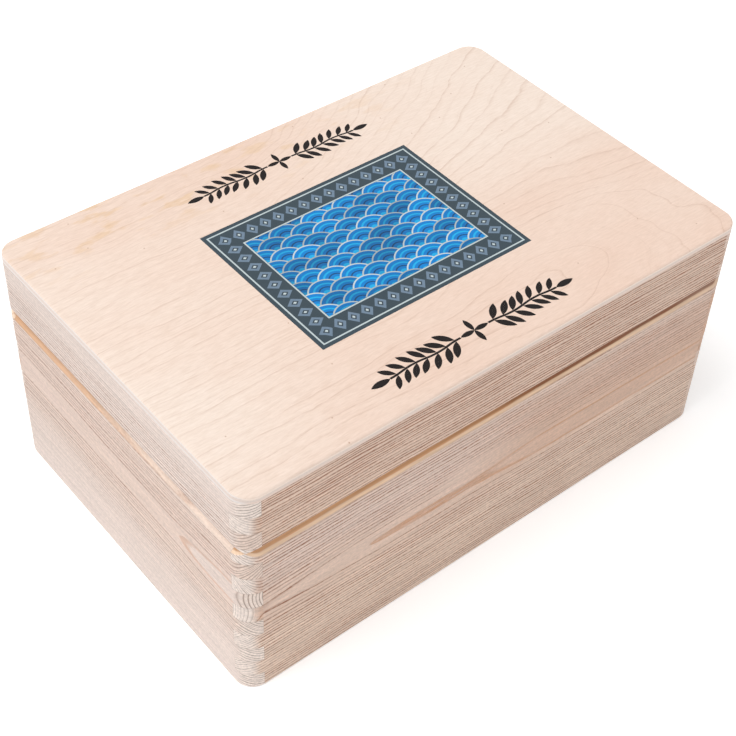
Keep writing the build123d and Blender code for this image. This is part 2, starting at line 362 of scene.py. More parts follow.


# Figure of each board of the carcass, whose wall and rail were cut from one length, so the grain runs on over
# the seam. Places are in millimetres: along the board in the stops of pith_height, lift, weathering, fade,
# groove and groove_depth_shade, and upwards in those of contrast, tone, finger_tint and end_tint.
# pith_depth, pith_height: place of the pith, inwards from the outer face and upwards
# lift: square of the distance from the first growth ring to that face, negative where it has come through
# band, ring_width, narrowing: plain stretch beside the flame, width of the rings past it, how it lessens
# calm: spot where the lines fade, as its place, height, half length and half height
# contrast, weathering: strength of the lines, and what is left of it along the body wall
# line_strength, end_strength, faintest: strength on the faces and the ends, and share of the weakest line
# tone: shares of blush, pale and amber wood
# dusk: area with more amber, as its start and end, its lower and upper edge, and the share
# flame, heart: strength of the amber flame, and of the pale wood inside it
# fade: brightness along the board
# groove, groove_lip, groove_depth_shade: warmth of the grip groove, partly fresh wood and partly painted warm
# shade, depths where its mouth turns to it, and strength of the painted shade deep in it
# finger_tint, end_tint: share of amber on the faces and on the ends of the fingers
# seed: start of the board's own noise
BOARDS = {
    "front": {
        "pith_depth": 33.0,
        "pith_height": ((-150, 57.0), (-60, 56.2), (40, 54.8), (150, 52.6)),
        "lift": (
            (-150, 50), (-120, 29), (-92, 7), (-80, -1), (-65, -6), (-40, -9), (-15, -10), (30, -42),
            (150, -40),
        ),
        "band": 7.6,
        "ring_width": 2.1,
        "narrowing": 0.002,
        "calm": (-8.0, 66.0, 42.0, 9.0),
        "contrast": (
            (0, 0.75), (18, 0.88), (40, 0.74), (47, 0.58), (60, 0.4), (66, 0.58), (93, 0.74), (99, 1.03),
            (133, 1.03),
        ),
        "tone": (
            (0, (0.15, 0.1, 0.04)), (30, (0.1, 0.1, 0.04)), (50, (0.5, 0.0, 0.14)), (60, (0.6, 0.0, 0.12)),
            (82, (0.7, 0.2, 0.0)), (95, (0.6, 0.2, 0.04)), (100, (0.4, 0.0, 0.14)), (133, (0.4, 0.0, 0.15)),
        ),
        "dusk": (-45, 30, 48, 90, 0.3),
        "line_strength": 1.85,
        "faintest": 0.45,
        "end_strength": 0.62,
        "flame": 0.75,
        "heart": 0.0,
        "weathering": ((-150, 1.0), (0, 0.92), (150, 0.82)),
        "fade": ((-150, 1.0), (0, 0.965), (150, 0.93)),
        "groove": ((-150, 0.95), (-40, 1.0), (0, 1.0), (60, 0.95), (110, 0.84), (150, 0.6)),
        "groove_lip": (0.95, 1.5),
        "groove_depth_shade": ((-150, 0.08), (-45, 0.12), (-5, 0.4), (20, 0.84), (60, 0.92), (150, 0.9)),
        "finger_tint": (
            (0, 0.0), (40, 0.0), (50, 0.26), (60, 0.26), (70, 0.14), (90, 0.1), (118, 0.08), (133, 0.0),
        ),
        "seed": 3.0,
    },
    "back": {
        "pith_depth": 41.0,
        "pith_height": ((-150, 50.0), (0, 54.0), (150, 56.5)),
        "lift": ((-150, -50), (-60, -14), (20, 4), (80, 30), (150, 80)),
        "band": 9.0,
        "ring_width": 2.3,
        "narrowing": 0.002,
        "calm": (60.0, 62.0, 30.0, 6.0),
        "contrast": ((0, 0.9), (30, 1.0), (60, 0.7), (85, 0.5), (100, 0.8), (133, 0.9)),
        "tone": (
            (0, (0.2, 0.1, 0.14)), (50, (0.5, 0.1, 0.1)), (80, (0.6, 0.2, 0.05)), (133, (0.3, 0.0, 0.12)),
        ),
        "line_strength": 1.0,
        "faintest": 0.5,
        "end_strength": 0.7,
        "flame": 0.7,
        "heart": 0.2,
        "weathering": ((-150, 0.8), (150, 1.0)),
        "fade": ((-150, 0.97), (150, 1.0)),
        "groove": ((-150, 0.7), (0, 0.9), (150, 0.6)),
        "groove_lip": (0.7, 1.5),
        "groove_depth_shade": ((-150, 0.5), (150, 0.7)),
        "seed": 21.0,
    },
    "left": {
        "pith_depth": 24.0,
        "pith_height": ((-99, 66.8), (-50, 65.8), (0, 66.0), (99, 67.2)),
        "lift": ((-99, -52), (-75, -43), (-60, -26), (-52, -8), (-47, 3), (-20, 6), (99, 2)),
        "band": 8.9,
        "ring_width": 2.4,
        "narrowing": 0.004,
        "calm": (40.0, 67.0, 50.0, 5.0),
        "contrast": (
            (0, 0.14), (18, 0.2), (30, 0.42), (38, 0.8), (55, 0.95), (58, 1.1), (76, 1.1), (79, 0.95),
            (92, 0.95), (98, 1.1), (114, 1.0), (121, 0.42), (133, 0.3),
        ),
        "tone": (
            (0, (0.2, 0.95, 0.0)), (34, (0.45, 0.7, 0.0)), (48, (0.5, 0.4, 0.0)), (66, (0.8, 0.15, 0.02)),
            (92, (0.6, 0.35, 0.02)), (96, (0.2, 0.7, 0.0)), (100, (0.3, 0.8, 0.0)), (120, (0.2, 0.85, 0.0)),
            (133, (0.1, 0.9, 0.0)),
        ),
        "line_strength": 0.8,
        "faintest": 0.72,
        "end_strength": 0.82,
        "flame": 0.5,
        "heart": 0.55,
        "weathering": ((-99, 1.0), (99, 0.9)),
        "fade": ((-99, 1.0), (99, 0.945)),
        "groove": ((-99, 0.04), (-50, 0.08), (-25, 0.18), (0, 0.34), (25, 0.75), (99, 0.92)),
        "groove_lip": (-1.4, -0.4),
        "groove_depth_shade": ((-99, 0.0), (0, 0.02), (50, 0.16), (99, 0.24)),
        "end_tint": (
            (0, 0.0), (35, 0.0), (45, 0.06), (68, 0.09), (80, 0.24), (110, 0.24), (118, 0.0), (133, 0.0),
        ),
        "seed": 11.0,
    },
    "right": {
        "pith_depth": 30.0,
        "pith_height": ((-99, 50.0), (99, 45.0)),
        "lift": ((-99, 60), (-20, 20), (20, -3), (60, -20), (99, -34)),
        "band": 8.0,
        "ring_width": 2.2,
        "narrowing": 0.003,
        "calm": (-40.0, 60.0, 30.0, 6.0),
        "contrast": ((0, 0.5), (25, 0.8), (50, 0.6), (75, 0.85), (100, 0.9), (133, 0.6)),
        "tone": (
            (0, (0.2, 0.5, 0.02)), (48, (0.6, 0.2, 0.08)), (90, (0.4, 0.3, 0.05)), (133, (0.2, 0.4, 0.05)),
        ),
        "line_strength": 1.1,
        "faintest": 0.5,
        "end_strength": 0.75,
        "flame": 0.6,
        "heart": 0.3,
        "weathering": ((-99, 0.8), (99, 1.0)),
        "fade": ((-99, 0.97), (99, 1.0)),
        "groove": ((-99, 0.8), (99, 0.6)),
        "groove_lip": (0.4, 1.2),
        "groove_depth_shade": ((-99, 0.6), (99, 0.3)),
        "end_tint": ((0, 0.3), (56, 0.3), (62, 0.7), (92, 0.7), (98, 0.35), (133, 0.3)),
        "seed": 31.0,
    },
}

# Axis that each side's board runs along, and the sign of its outer face on the other axis
SIDES = {"front": (0, -1), "back": (0, 1), "left": (1, -1), "right": (1, 1)}
HALF_SIZES = (BOX_LENGTH / 2, BOX_DEPTH / 2)

# Darkness across one growth ring, from its early wood to the sharp outer end of its late wood
RING_PROFILE = ((0.0, 0.0), (0.46, 0.0), (0.66, 0.4), (0.78, 0.95), (0.93, 1.0), (1.0, 0.0))

# Width of the rings nearest the pith, as a share of the outer ones
INNER_RINGS = 0.6

# Depth of the grip groove, which is also half its height at the mouth
GROOVE_REACH = 3.0


def pine_rings(sheet, board, along, inward, up):
    """Count of the growth rings on the faces and on the ends, and the depth inside the first."""
    seed = board["seed"]
    pith_depth = board["pith_depth"]
    ring_width = board["ring_width"]
    sway = sheet.noise(along * (1 / 60) + seed, detail=2.0) - 0.5
    ripple = sheet.noise(along * (1 / 45) + seed, inward * (1 / 25), up * (1 / 12)) - 0.5
    across = up - along.curve(board["pith_height"]) - sway * 1.6 + ripple * 1.3
    lift = along.curve(board["lift"])
    square = across * across + lift + inward * (inward - 2 * pith_depth)
    reach = abs(square).root()
    core = reach * (square < 0.0)
    past = reach - board["band"]
    uneven = sheet.noise(reach * 0.17 + seed, detail=1.0) - 0.5
    tremor = sheet.noise(along * (1 / 13), inward * 0.4, up * 0.5, detail=2.0) - 0.5
    past = past + uneven * past.span(0.0, 4.0) * 1.6 + tremor * 0.8
    steps = past * (past * board["narrowing"] + 1.0) * (1 / ring_width)
    outside = steps.at_least(0.0) * (square > 0.0)
    radius = distance(across, inward - pith_depth)
    first = (board["band"] ** 2 + pith_depth**2 - lift).root()
    inner = (radius - first).at_most(0.0) * (1 / (INNER_RINGS * ring_width))
    return steps.at_least(-1.0) + 1.0, outside + inner, core


def rim_depth(sheet, corner):
    """Depth behind the outline of the box seen from above, round corners included."""
    x, y, _ = sheet.places()
    past_x = abs(x) - (BOX_LENGTH / 2 - corner)
    past_y = abs(y) - (BOX_DEPTH / 2 - corner)
    reach = distance(past_x.at_least(0.0), past_y.at_least(0.0))
    return corner - (reach + past_x.at_least(past_y).at_most(0.0))


def joint_lines(axis, along, up, pitch):
    """Hairlines round the fingers at both ends of a board. The long boards have the odd fingers."""
    shoulder_place = HALF_SIZES[axis] - WALL
    reach = abs(along)
    step = up * (1 / pitch)
    level = (abs(step - step.rounded()) * pitch).span(0.16, 0.05) * (reach > shoulder_place - 0.12)
    odd = up.sheet.math("MODULO", step.floor(), 2.0)
    gap = odd if axis == 1 else 1.0 - odd
    shoulder = abs(reach - shoulder_place).span(0.2, 0.05) * gap
    return level.at_least(shoulder)


def groove_colour(sheet, board, finish, along, up, wood):
    """Lays the grip groove's colour over the board's own: pale wood at the mouth, then a warm amber deeper in
    that is partly fresh-cut wood and partly painted warm shade from light bounced in the groove, painted
    shade at the bottom, and a faint dark line along the mouth.
    """
    inset = rim_depth(sheet, finish.corner_radius / MM)
    from_seam = abs(up - SEAM)
    cut = from_seam.span(GROOVE_REACH + 0.45, GROOVE_REACH + 0.1)
    cut = cut * (inset.span(0.03, 0.3) * inset.span(GROOVE_REACH + 0.12, GROOVE_REACH - 0.02))
    streak = sheet.noise(along * 0.05, inset * 1.2, board["seed"], roughness=0.6)
    depth = inset + (streak - 0.5) * 0.9
    # Painted shading across the groove: from the pale lip at the mouth to the warm colour deeper in
    warmth_and_shade = along.profile(board["groove"])
    fresh = sheet.blend(depth.span(*board["groove_lip"]) * warmth_and_shade, finish.groove_lip, finish.groove)
    # Painted shade: the groove turns dark brown past a depth of about 1.5 mm, more strongly where the profile
    # along the board says
    depth_shading = along.profile(board["groove_depth_shade"])
    fresh = sheet.blend((depth + depth_shading * 0.26).span(1.48, 1.88) * depth_shading, fresh, finish.groove_depth_shade)
    fresh = sheet.shade(fresh, streak.linear(0.35, 0.65, 0.87, 1.09))
    wood = sheet.blend(cut * warmth_and_shade.linear(0.0, 1.0, 0.12, 0.96), wood, fresh)
    mouth = abs(from_seam - GROOVE_REACH)
    return sheet.blend(mouth.span(0.55, 0.2) * (warmth_and_shade * 0.2), wood, finish.late)


def ring_lines(sheet, rings, board):
    """The dark outer part of each ring, and how strong that ring's line is."""
    number = rings.floor() + board["seed"]
    return rings.fraction().ramp(RING_PROFILE), sheet.chance(number).linear(0.0, 1.0, board["faintest"], 1.0)


def pine_ground(sheet, board, finish, along, up, cloud):
    """The wood between the ring lines, pinker, paler or warmer with height."""
    stops = [(place / BOX_HEIGHT, shares) for place, shares in board["tone"]]
    blush, pale, amber = sheet.split("ShaderNodeSeparateColor", (up * (1 / BOX_HEIGHT)).ramp(stops))
    drift = cloud.linear(0.3, 0.7, 0.8, 1.2)
    wood = sheet.blend(blush.times(drift, clamp=True), finish.early, finish.blush)
    wood = sheet.blend(pale, wood, finish.pale)
    wood = sheet.blend(amber.times(drift, clamp=True), wood, finish.amber)
    if "dusk" in board:
        start, end, low, high, share = board["dusk"]
        area = up.span(low - 4, low + 4) * up.span(high + 4, high - 4) * along.span(start, end, 0.0, share)
        wood = sheet.blend(area, wood, finish.amber)
    return wood


def pine_material(side, board, finish):
    """Sanded pine of one board, cut through its body wall and its lid rail alike."""
    sheet = NodeSheet("pine_" + side)
    axis, sign = SIDES[side]
    along = sheet.places()[axis]
    inward = HALF_SIZES[1 - axis] - sheet.places()[1 - axis] * sign
    up = sheet.places()[2]

    def grain(run, cross, detail=3.0):
        """Noise stretched along the board, from its steps per millimetre along and across it."""
        return sheet.noise(along * run + board["seed"], inward * cross, up * cross, detail=detail)

    # Fibres run the board's whole length, short dark dashes sit along them
    streak = grain(0.025, 0.8)
    fibre = grain(0.06, 2.6)
    dash = grain(0.4, 2.0)
    cloud = grain(0.013, 0.07, detail=2.0)
    broad = grain(0.02, 0.3, detail=2.0)
    fuzz = sheet.noise(along * 0.45, inward * 0.9, up * 0.9, detail=2.0, roughness=0.7)

    # Growth rings on the faces, weaker in the calm spot and towards the weathered end
    rings, end_rings, core = pine_rings(sheet, board, along, inward, up)
    line, chance = ring_lines(sheet, rings, board)
    place, height, half_length, half_height = board["calm"]
    away = distance((along - place) * (1 / half_length), (up - height) * (1 / half_height))
    calm = away.span(0.5, 1.1, 0.2, 1.0)
    contrast = up.profile(board["contrast"]) * calm * cloud.span(0.36, 0.56, 0.75, 1.05)
    worn = up.span(SEAM + 1.0, SEAM - 1.0) * (along.profile(board["weathering"]) - 1.0)
    contrast = contrast * (worn + 1.0)
    beads = dash.span(0.32, 0.62, 0.5, 1.2) * streak.span(0.35, 0.6, 0.8, 1.05)
    beads = beads * fibre.span(0.36, 0.62, 0.55, 1.15)
    strength = line * beads * (chance.at_least(rings < 1.0) * board["line_strength"])
    strength = strength.times(contrast, clamp=True) * sheet.facing(2).span(0.5, 0.9, 1.0, 0.5)
    wood = pine_ground(sheet, board, finish, along, up, cloud)
    wood = sheet.blend(strength, wood, finish.late)

    # The flame where the first ring comes through the face, and the pale wood inside it
    flame = core.span(0.0, 1.1) * core.span(4.8, 3.0) * inward.span(2.5, 1.0)
    flame = flame * calm * (fibre.span(0.36, 0.62, 0.3, 1.2) * board["flame"])
    wood = sheet.blend(core.span(3.2, 5.2) * board["heart"], wood, finish.pale)
    wood = sheet.blend(flame, wood, finish.amber)

    # End grain of the fingers
    end = sheet.facing(axis).span(0.15, 0.65)
    end_line, end_chance = ring_lines(sheet, end_rings, board)
    end_line = end_line**1.6 * (end_chance * board["end_strength"])
    wood = sheet.blend(end, wood, sheet.blend(end_line, finish.end_early, finish.end_late))
    in_joint = abs(along) > HALF_SIZES[axis] - WALL
    for key, part in (("finger_tint", in_joint - end), ("end_tint", end)):
        if key in board:
            wood = sheet.blend(part.times(up.profile(board[key]), clamp=True), wood, finish.amber)

    light = streak.linear(0.3, 0.7, 0.93, 1.06) * fibre.linear(0.3, 0.7, 0.91, 1.07)
    light = light * fuzz.linear(0.3, 0.7, 0.88, 1.12) * broad.linear(0.36, 0.64, 0.95, 1.05)
    wood = sheet.shade(wood, light * along.profile(board["fade"]))
    tick = dash.span(0.72, 0.80) * (1.0 - end)
    wood = sheet.blend(tick * 0.3, wood, finish.joint)
    wood = groove_colour(sheet, board, finish, along, up, wood)
    seam_line = joint_lines(axis, along, up, finish.finger_pitch / MM)
    wood = sheet.blend(seam_line * 0.38, wood, finish.joint)
    relief = fibre * 0.6 + line * 0.5 - seam_line * 1.5
    return sheet.surface(wood, fuzz.linear(0.25, 0.75, 0.66, 0.78), relief, bump=0.35, depth=0.00012)


# Darkness across one line of the face veneer
VENEER_LINE = ((0.0, 0.0), (0.74, 0.0), (0.88, 0.5), (0.95, 1.0), (1.0, 0.0))


def veneer_field(sheet, x, y, seed):
    """Contours of the sliced birch: straight on the left, arches in front, rising lines at the back."""
    arms = y.profile(((-99, 9.0), (-78, 0.0), (-45, 15.0), (99, 159.0)))
    closer = y.profile(((-99, 9.0), (-78, 0.0), (-45, 12.0), (99, 12.0)))
    arms = arms + closer * x.span(50.0, -40.0)
    arches = x.curve(((-150, 0.0), (20, 2.0), (55, 6.0), (85, 11.0), (110, 17.0), (150, 26.0)))
    climb = x.curve(((-150, 0.0), (-30, 0.0), (20, 12.0), (60, 31.0), (100, 50.0), (150, 72.0)))
    field = distance(arms, arches) - climb * y.linear(-25.0, 99.0)
    drift = sheet.noise(x * (1 / 70), y * (1 / 40), seed, detail=2.0) - 0.5
    wiggle = sheet.noise(x * (1 / 13), y * (1 / 10), seed + 3) - 0.5
    loose = y.span(45.0, 85.0, 0.0, 12.0) * x.span(90.0, 30.0)
    slow = x.span(0.0, 60.0) * y.span(-35.0, -50.0)
    field = field + drift * (loose + 9.0) + wiggle * (2.2 - slow * 1.3)
    return field * 0.2, slow


def veneer_ground(sheet, x, y, finish, seed):
    """The face veneer between its lines: pinker clouds, and warm blotches towards the back. The blush share
    falls off towards the right, to nothing at the back right, partly the veneer's own tone and partly painted
    light brightening that corner.
    """
    in_front = x.curve(((-150, 0.02), (-115, 0.25), (-92, 0.42), (-40, 0.78), (60, 0.74), (150, 0.72)))
    in_front = in_front + y.span(-60.0, -95.0, 0.0, 0.14)
    behind = ((-150, 0.22), (-115, 0.38), (-85, 0.5), (0, 0.55), (40, 0.3), (75, 0.12), (150, 0.0))
    behind = x.curve(behind) + y.span(55.0, 90.0, 0.0, 0.25) * x.span(60.0, 20.0)
    share = in_front + y.span(-30.0, 20.0) * (behind - in_front)
    cloud = sheet.noise(x * 0.02, y * 0.035, seed + 9)
    share = share.plus(cloud.linear(0.3, 0.72, -0.15, 0.15), clamp=True)
    face = sheet.blend(share, finish.face, finish.blush)
    blotch = sheet.noise(x * 0.055, y * 0.15, seed + 12)
    corner = x.curve(((-150, 0.5), (-100, 0.85), (-20, 0.7), (60, 0.3), (110, 0.0), (150, 0.0)))
    return sheet.blend(blotch.span(0.53, 0.66) * (corner * y.span(50.0, 80.0)), face, finish.amber)


def ply_edge(sheet, share, across, finish):
    """Three plies on the edge, the middle one across the others, and a painted highlight on the upper part of
    the long-grain edges.
    """
    x, y, z = sheet.places()
    core = share.span(0.26, 0.33) * share.span(0.74, 0.67)
    upper = share.span(0.4, 0.75) * (1.0 - across)
    edge = sheet.blend(core, sheet.blend(across, finish.long_ply, finish.end_ply), finish.core_ply)
    edge = sheet.blend(upper, edge, finish.face)
    speck = sheet.noise(x * 1.1, y * 1.1, z * 2.5)
    # Painted highlight: the upper part of the front and back edges is made up to 16 % lighter, where the
    # eased edge turns up to the light
    return sheet.shade(edge, speck.linear(0.3, 0.7, 0.92, 1.04) * (upper * 0.16 + 1.0))


def plywood_material(name, low, high, finish, seed):
    """Birch plywood: cathedral lines on both faces, three plies on the edge."""
    sheet = NodeSheet(name)
    x, y, z = sheet.places()
    field, slow = veneer_field(sheet, x, y, seed)
    line = field.fraction().ramp(VENEER_LINE) ** (slow * 4.0 + 1.0)
    strength = sheet.chance(field.floor() + seed).linear(0.1, 0.9, 0.1, 0.32)
    break_up = sheet.noise(x * 0.06, y * 0.45, seed + 4, roughness=0.7)
    line = line * strength * break_up.span(0.34, 0.58, 0.45, 1.1)
    fine = sheet.noise(x * 0.06, field * 4.5, seed + 6, roughness=0.6)
    fine = fine.span(0.5, 0.7) * x.span(-60.0, 30.0, 0.13, 0.06)
    mottle = sheet.noise(x * 0.09, y * 0.3, seed + 15, roughness=0.6)
    mottle = mottle.span(0.46, 0.66) * x.span(-60.0, 40.0, 0.08, 0.02)
    face = veneer_ground(sheet, x, y, finish, seed)
    face = sheet.blend(line.at_least(fine).at_least(mottle), face, finish.line)

    # Pores and grit, the grit stronger in green and blue than in red, and painted light that makes the face
    # up to 3.5 % brighter towards +X
    pores = sheet.noise(x * 0.3, y * 1.6, seed, roughness=0.65)
    light = pores.linear(0.3, 0.72, 1.02, 0.965) * x.linear(-60.0, 150.0, 1.0, 1.035)
    grit = sheet.noise(x * 0.14, y * 1.0, seed, detail=2.0, roughness=0.75).linear(0.3, 0.7, -1.0, 1.0)
    face = sheet.shade(face, *(light * (1.0 - grit * share) for share in (0.044, 0.056, 0.072)))

    # A few dark flecks, in cells picked by chance
    inputs = {"Vector": sheet.vector(x, y, 0.0), "Scale": 0.045}
    cells = sheet.node("ShaderNodeTexVoronoi", inputs, voronoi_dimensions="2D").outputs
    picked = sheet.split("ShaderNodeSeparateColor", cells["Color"])[0] > 0.72
    fleck = Field(sheet, cells["Distance"]).span(0.022, 0.012) * picked
    face = sheet.blend(fleck * 0.6, face, finish.line)

    across = sheet.facing(0).span(0.4, 0.9)
    edge = ply_edge(sheet, (z - low) * (1 / (high - low)), across, finish)
    lean = across * 0.3
    wood = sheet.blend(sheet.facing(2).span(lean + 0.1, lean + 0.5), edge, face)
    return sheet.surface(wood, 0.66, pores + line * 0.4, bump=0.2, depth=0.00006)


# Sizes of the printed pattern, in millimetres
SCALE_RADIUS = 9.5
BORDER_WIDTH = 15.5
BORDER_MIDDLE = 8.75
BORDER_LINE_OFFSET = 6.2
BORDER_LINE_HALF_WIDTH = 0.4
LOZENGE_STEP = 7.75
LOZENGE_HALF_WIDTH = 5.0


def scale_rings(x, y, radius):
    """Distance from the middle of the nearest overlapping scale, and a number for that scale."""
    row_step = radius / 2
    base = ((y - radius) * (1 / row_step)).floor()
    nearest = None
    for order in (3, 2, 1):
        row = base + float(order)
        across = x - x.sheet.math("FLOORED_MODULO", row, 2.0) * radius
        wide = across.wrap(radius, -radius)
        reach = distance(wide, y - row * row_step)
        number = row * 17.0 + (across - wide) * (0.5 / radius)
        if nearest is None:
            nearest, nearest_number = reach, number
            continue
        inside = reach < radius
        nearest = nearest + inside * (reach - nearest)
        nearest_number = nearest_number + inside * (number - nearest_number)
    return nearest, nearest_number


def printed_panel_material(finish, centre):
    """A border of lozenges round a field of overlapping scales."""
    sheet = NodeSheet("printed_panel_ink")
    x, y = (place - middle for place, middle in zip(sheet.places(), centre))
    reach, number = scale_rings(x, y, SCALE_RADIUS)
    rings = (
        (0.0, finish.turquoise),
        (0.20, finish.blue),
        (0.38, finish.deep),
        (0.46, finish.blue),
        (0.62, finish.turquoise),
        (0.72, finish.blue),
        (0.92, finish.pale),
    )
    scales = (reach * (1 / SCALE_RADIUS)).ramp(rings, "CONSTANT")
    scales = sheet.shade(scales, sheet.chance(number).linear(0.0, 1.0, 0.62, 1.12))

    # Border, measured inwards from the panel's edge
    from_end = finish.panel_length / MM / 2 - abs(x)
    from_side = finish.panel_depth / MM / 2 - abs(y)
    edge = from_end.at_most(from_side)
    across = abs(edge - BORDER_MIDDLE)
    half_step = LOZENGE_STEP / 2
    run_x, run_y = (abs(place.wrap(half_step, -half_step)) for place in (x, y))
    run = run_y + (from_end > from_side) * (run_x - run_y)
    lozenge = run * (1 / half_step) + across * (1 / LOZENGE_HALF_WIDTH)
    border = finish.slate
    for limit, ink in ((0.86, finish.grey), (0.42, finish.slate), (0.2, finish.pale)):
        border = sheet.blend(lozenge < limit, border, ink)
    in_line = abs(across - BORDER_LINE_OFFSET) < BORDER_LINE_HALF_WIDTH
    border = sheet.blend(in_line, border, finish.pale)
    ink = sheet.blend(edge > BORDER_WIDTH, border, scales)
    grain = sheet.noise(x * 0.16, y * 2.4, 5.0)
    ink = sheet.shade(ink, grain.linear(0.3, 0.7, 0.92, 1.06))
    return sheet.surface(ink, 0.55, grain, bump=0.15, depth=0.00005, Specular_IOR_Level=0.3)


def black_ink_material(finish):
    """Matt black ink with the veneer's pores showing through."""
    sheet = NodeSheet("black_ink")
    x, y, _ = sheet.places()
    grain = sheet.noise(x * 0.16, y * 2.4, 5.0)
    ink = sheet.blend(grain.span(0.45, 0.8, 0.0, 0.35), finish.black, (0.05, 0.04, 0.035))
    return sheet.surface(ink, 0.75, grain, bump=0.15, depth=0.00005, Specular_IOR_Level=0.2)


def plated_material(name, base, tarnish, roughness):
    """Plated or bare steel with fine brush lines and duller patches."""
    sheet = NodeSheet(name)
    x, y, z = sheet.places()
    brush = sheet.noise(x * 0.8, y * 9.0, z * 9.0)
    patch = sheet.noise(x * 0.35, y * 0.35, z * 0.35)
    colour = sheet.blend(patch.span(0.45, 0.7, 0.0, 0.6), base, tarnish)
    shine = brush.linear(0.3, 0.7, -0.06, 0.08) + roughness
    return sheet.surface(colour, shine, brush, bump=0.12, depth=0.00003, Metallic=1.0)


def clear_selection():
    """Leaves edit mode and deselects everything."""
    if bpy.context.object and bpy.context.object.mode != "OBJECT":
        bpy.ops.object.mode_set(mode="OBJECT")
    bpy.ops.object.select_all(action="DESELECT")


def select_only(piece):
    """Makes one piece the only one selected, and active."""
    clear_selection()
    piece.select_set(True)
    bpy.context.view_layer.objects.active = piece


def apply_place():
    """Puts the active piece's place, turn and size into its mesh."""
    bpy.ops.object.transform_apply(location=True, rotation=True, scale=True)


def settle(piece, name, material, body):
    """Puts a finished piece's place into its mesh, and gives it its name, material, body and slot."""
    select_only(piece)
    apply_place()
    piece.name = name
    piece.data.name = name
    piece.data.materials.clear()
    piece.data.materials.append(material)
    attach(piece, body)
    return piece


def apply_modifier(piece, kind, name, **settings):
    """Adds a modifier and applies it."""
    select_only(piece)
    modifier = piece.modifiers.new(name, kind)
    for key, value in settings.items():
        setattr(modifier, key, value)
    bpy.ops.object.modifier_apply(modifier=modifier.name)


def select_edges(piece, wanted):
    """In edit mode, selects the edges whose two ends pass a test."""
    shape = bmesh.from_edit_mesh(piece.data)
    bpy.ops.mesh.select_mode(type="EDGE")
    bpy.ops.mesh.select_all(action="DESELECT")
    for edge in shape.edges:
        if wanted(edge.verts[0].co, edge.verts[1].co):
            edge.select_set(True)
    bmesh.update_edit_mesh(piece.data)


def paint_node(name, material):
    """Gives a CAD node its material."""
    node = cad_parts[name]
    if not node.material_slots:
        node.data.materials.append(None)
    for slot in node.material_slots:
        slot.material = material


class GIFTBOX_OT_pine_boards(bpy.types.Operator):
    """Finish the eight pine pieces, one grain for each board"""

    bl_idname = "gift_box.pine_boards"
    bl_label = "Pine boards"

    def execute(self, context):
        finish = context.scene.gift_box_pine
        for side, board in BOARDS.items():
            material = pine_material(side, board, finish)
            for name in (f"body_{side}_wall", f"lid_{side}_rail"):
                paint_node(name, material)
        return {"FINISHED"}


# Facets of the plywood's rounded corners and edge, and the angle up to which they shade smoothly
CORNER_FACETS = 14
EDGE_FACETS = 6
SMOOTH_ANGLE = radians(35)


class GIFTBOX_OT_plywood_top(bpy.types.Operator):
    """Model the plywood top with rounded corners and an eased upper edge"""

    bl_idname = "gift_box.plywood_top"
    bl_label = "Plywood top"

    def execute(self, context):
        finish = context.scene.gift_box_plywood
        ink = context.scene.gift_box_print.thickness
        low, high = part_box("lid_top_panel")
        thickness = high.z - low.z - ink
        clear_selection()
        bpy.ops.mesh.primitive_cube_add(size=1.0, location=(0.0, 0.0, low.z + thickness / 2))
        panel = context.object
        bpy.ops.transform.resize(value=(high.x - low.x, high.y - low.y, thickness))
        bpy.ops.object.transform_apply(location=True, rotation=False, scale=True)
        bpy.ops.object.mode_set(mode="EDIT")
        select_edges(panel, lambda a, b: abs(a.z - b.z) > thickness / 2)
        bpy.ops.mesh.bevel(offset=finish.corner_radius, segments=CORNER_FACETS, profile=0.5, affect="EDGES")
        level = low.z + thickness
        select_edges(panel, lambda a, b: a.z > level - ink and b.z > level - ink)
        bpy.ops.mesh.bevel(offset=finish.edge_round, segments=EDGE_FACETS, profile=0.5, affect="EDGES")
        bpy.ops.object.mode_set(mode="OBJECT")
        bpy.ops.object.shade_smooth_by_angle(angle=SMOOTH_ANGLE)
        material = plywood_material("birch_top", low.z / MM, high.z / MM, finish, 2.0)
        settle(panel, "plywood_top", material, LID)
        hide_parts("lid_top_panel")
        return {"FINISHED"}


class GIFTBOX_OT_plywood_bottom(bpy.types.Operator):
    """Finish the plywood bottom"""

    bl_idname = "gift_box.plywood_bottom"
    bl_label = "Plywood bottom"

    def execute(self, context):
        finish = context.scene.gift_box_plywood
        material = plywood_material("birch_bottom", BOTTOM_LOW, BOTTOM_HIGH, finish, 14.0)
        paint_node("body_bottom_panel", material)
        return {"FINISHED"}


# Middle of the printed panel, and how deep the ink sinks into the veneer, in millimetres
PANEL_CENTRE = (-6.5, -0.5)
INK_SINK = 0.01


class GIFTBOX_OT_printed_panel(bpy.types.Operator):
    """Model the printed panel in the middle of the lid"""

    bl_idname = "gift_box.printed_panel"
    bl_label = "Printed panel"

    def execute(self, context):
        finish = context.scene.gift_box_print
        clear_selection()
        place = (PANEL_CENTRE[0] * MM, PANEL_CENTRE[1] * MM, cad_high.z)
        bpy.ops.mesh.primitive_grid_add(x_subdivisions=12, y_subdivisions=9, size=1.0, location=place)
        panel = context.object
        bpy.ops.transform.resize(value=(finish.panel_length, finish.panel_depth, 1.0))
        apply_place()
        apply_modifier(panel, "SOLIDIFY", "ink", thickness=finish.thickness + INK_SINK * MM, offset=-1.0)
        settle(panel, "printed_panel", printed_panel_material(finish, PANEL_CENTRE), LID)
        return {"FINISHED"}


# The two garlands, in millimetres
ORNAMENTS = {
    "back_ornament": {"centre": (-3.0, 73.3), "length": 112.0, "height": 17.0},
    "front_ornament": {"centre": (-7.5, -78.5), "length": 121.0, "height": 19.0},
}


# Length of a leaf, width of the stem and reach of the middle, as shares of a garland's height
LEAF_LENGTH = 0.56
STEM_WIDTH = 0.06
MIDDLE_REACH = 0.5

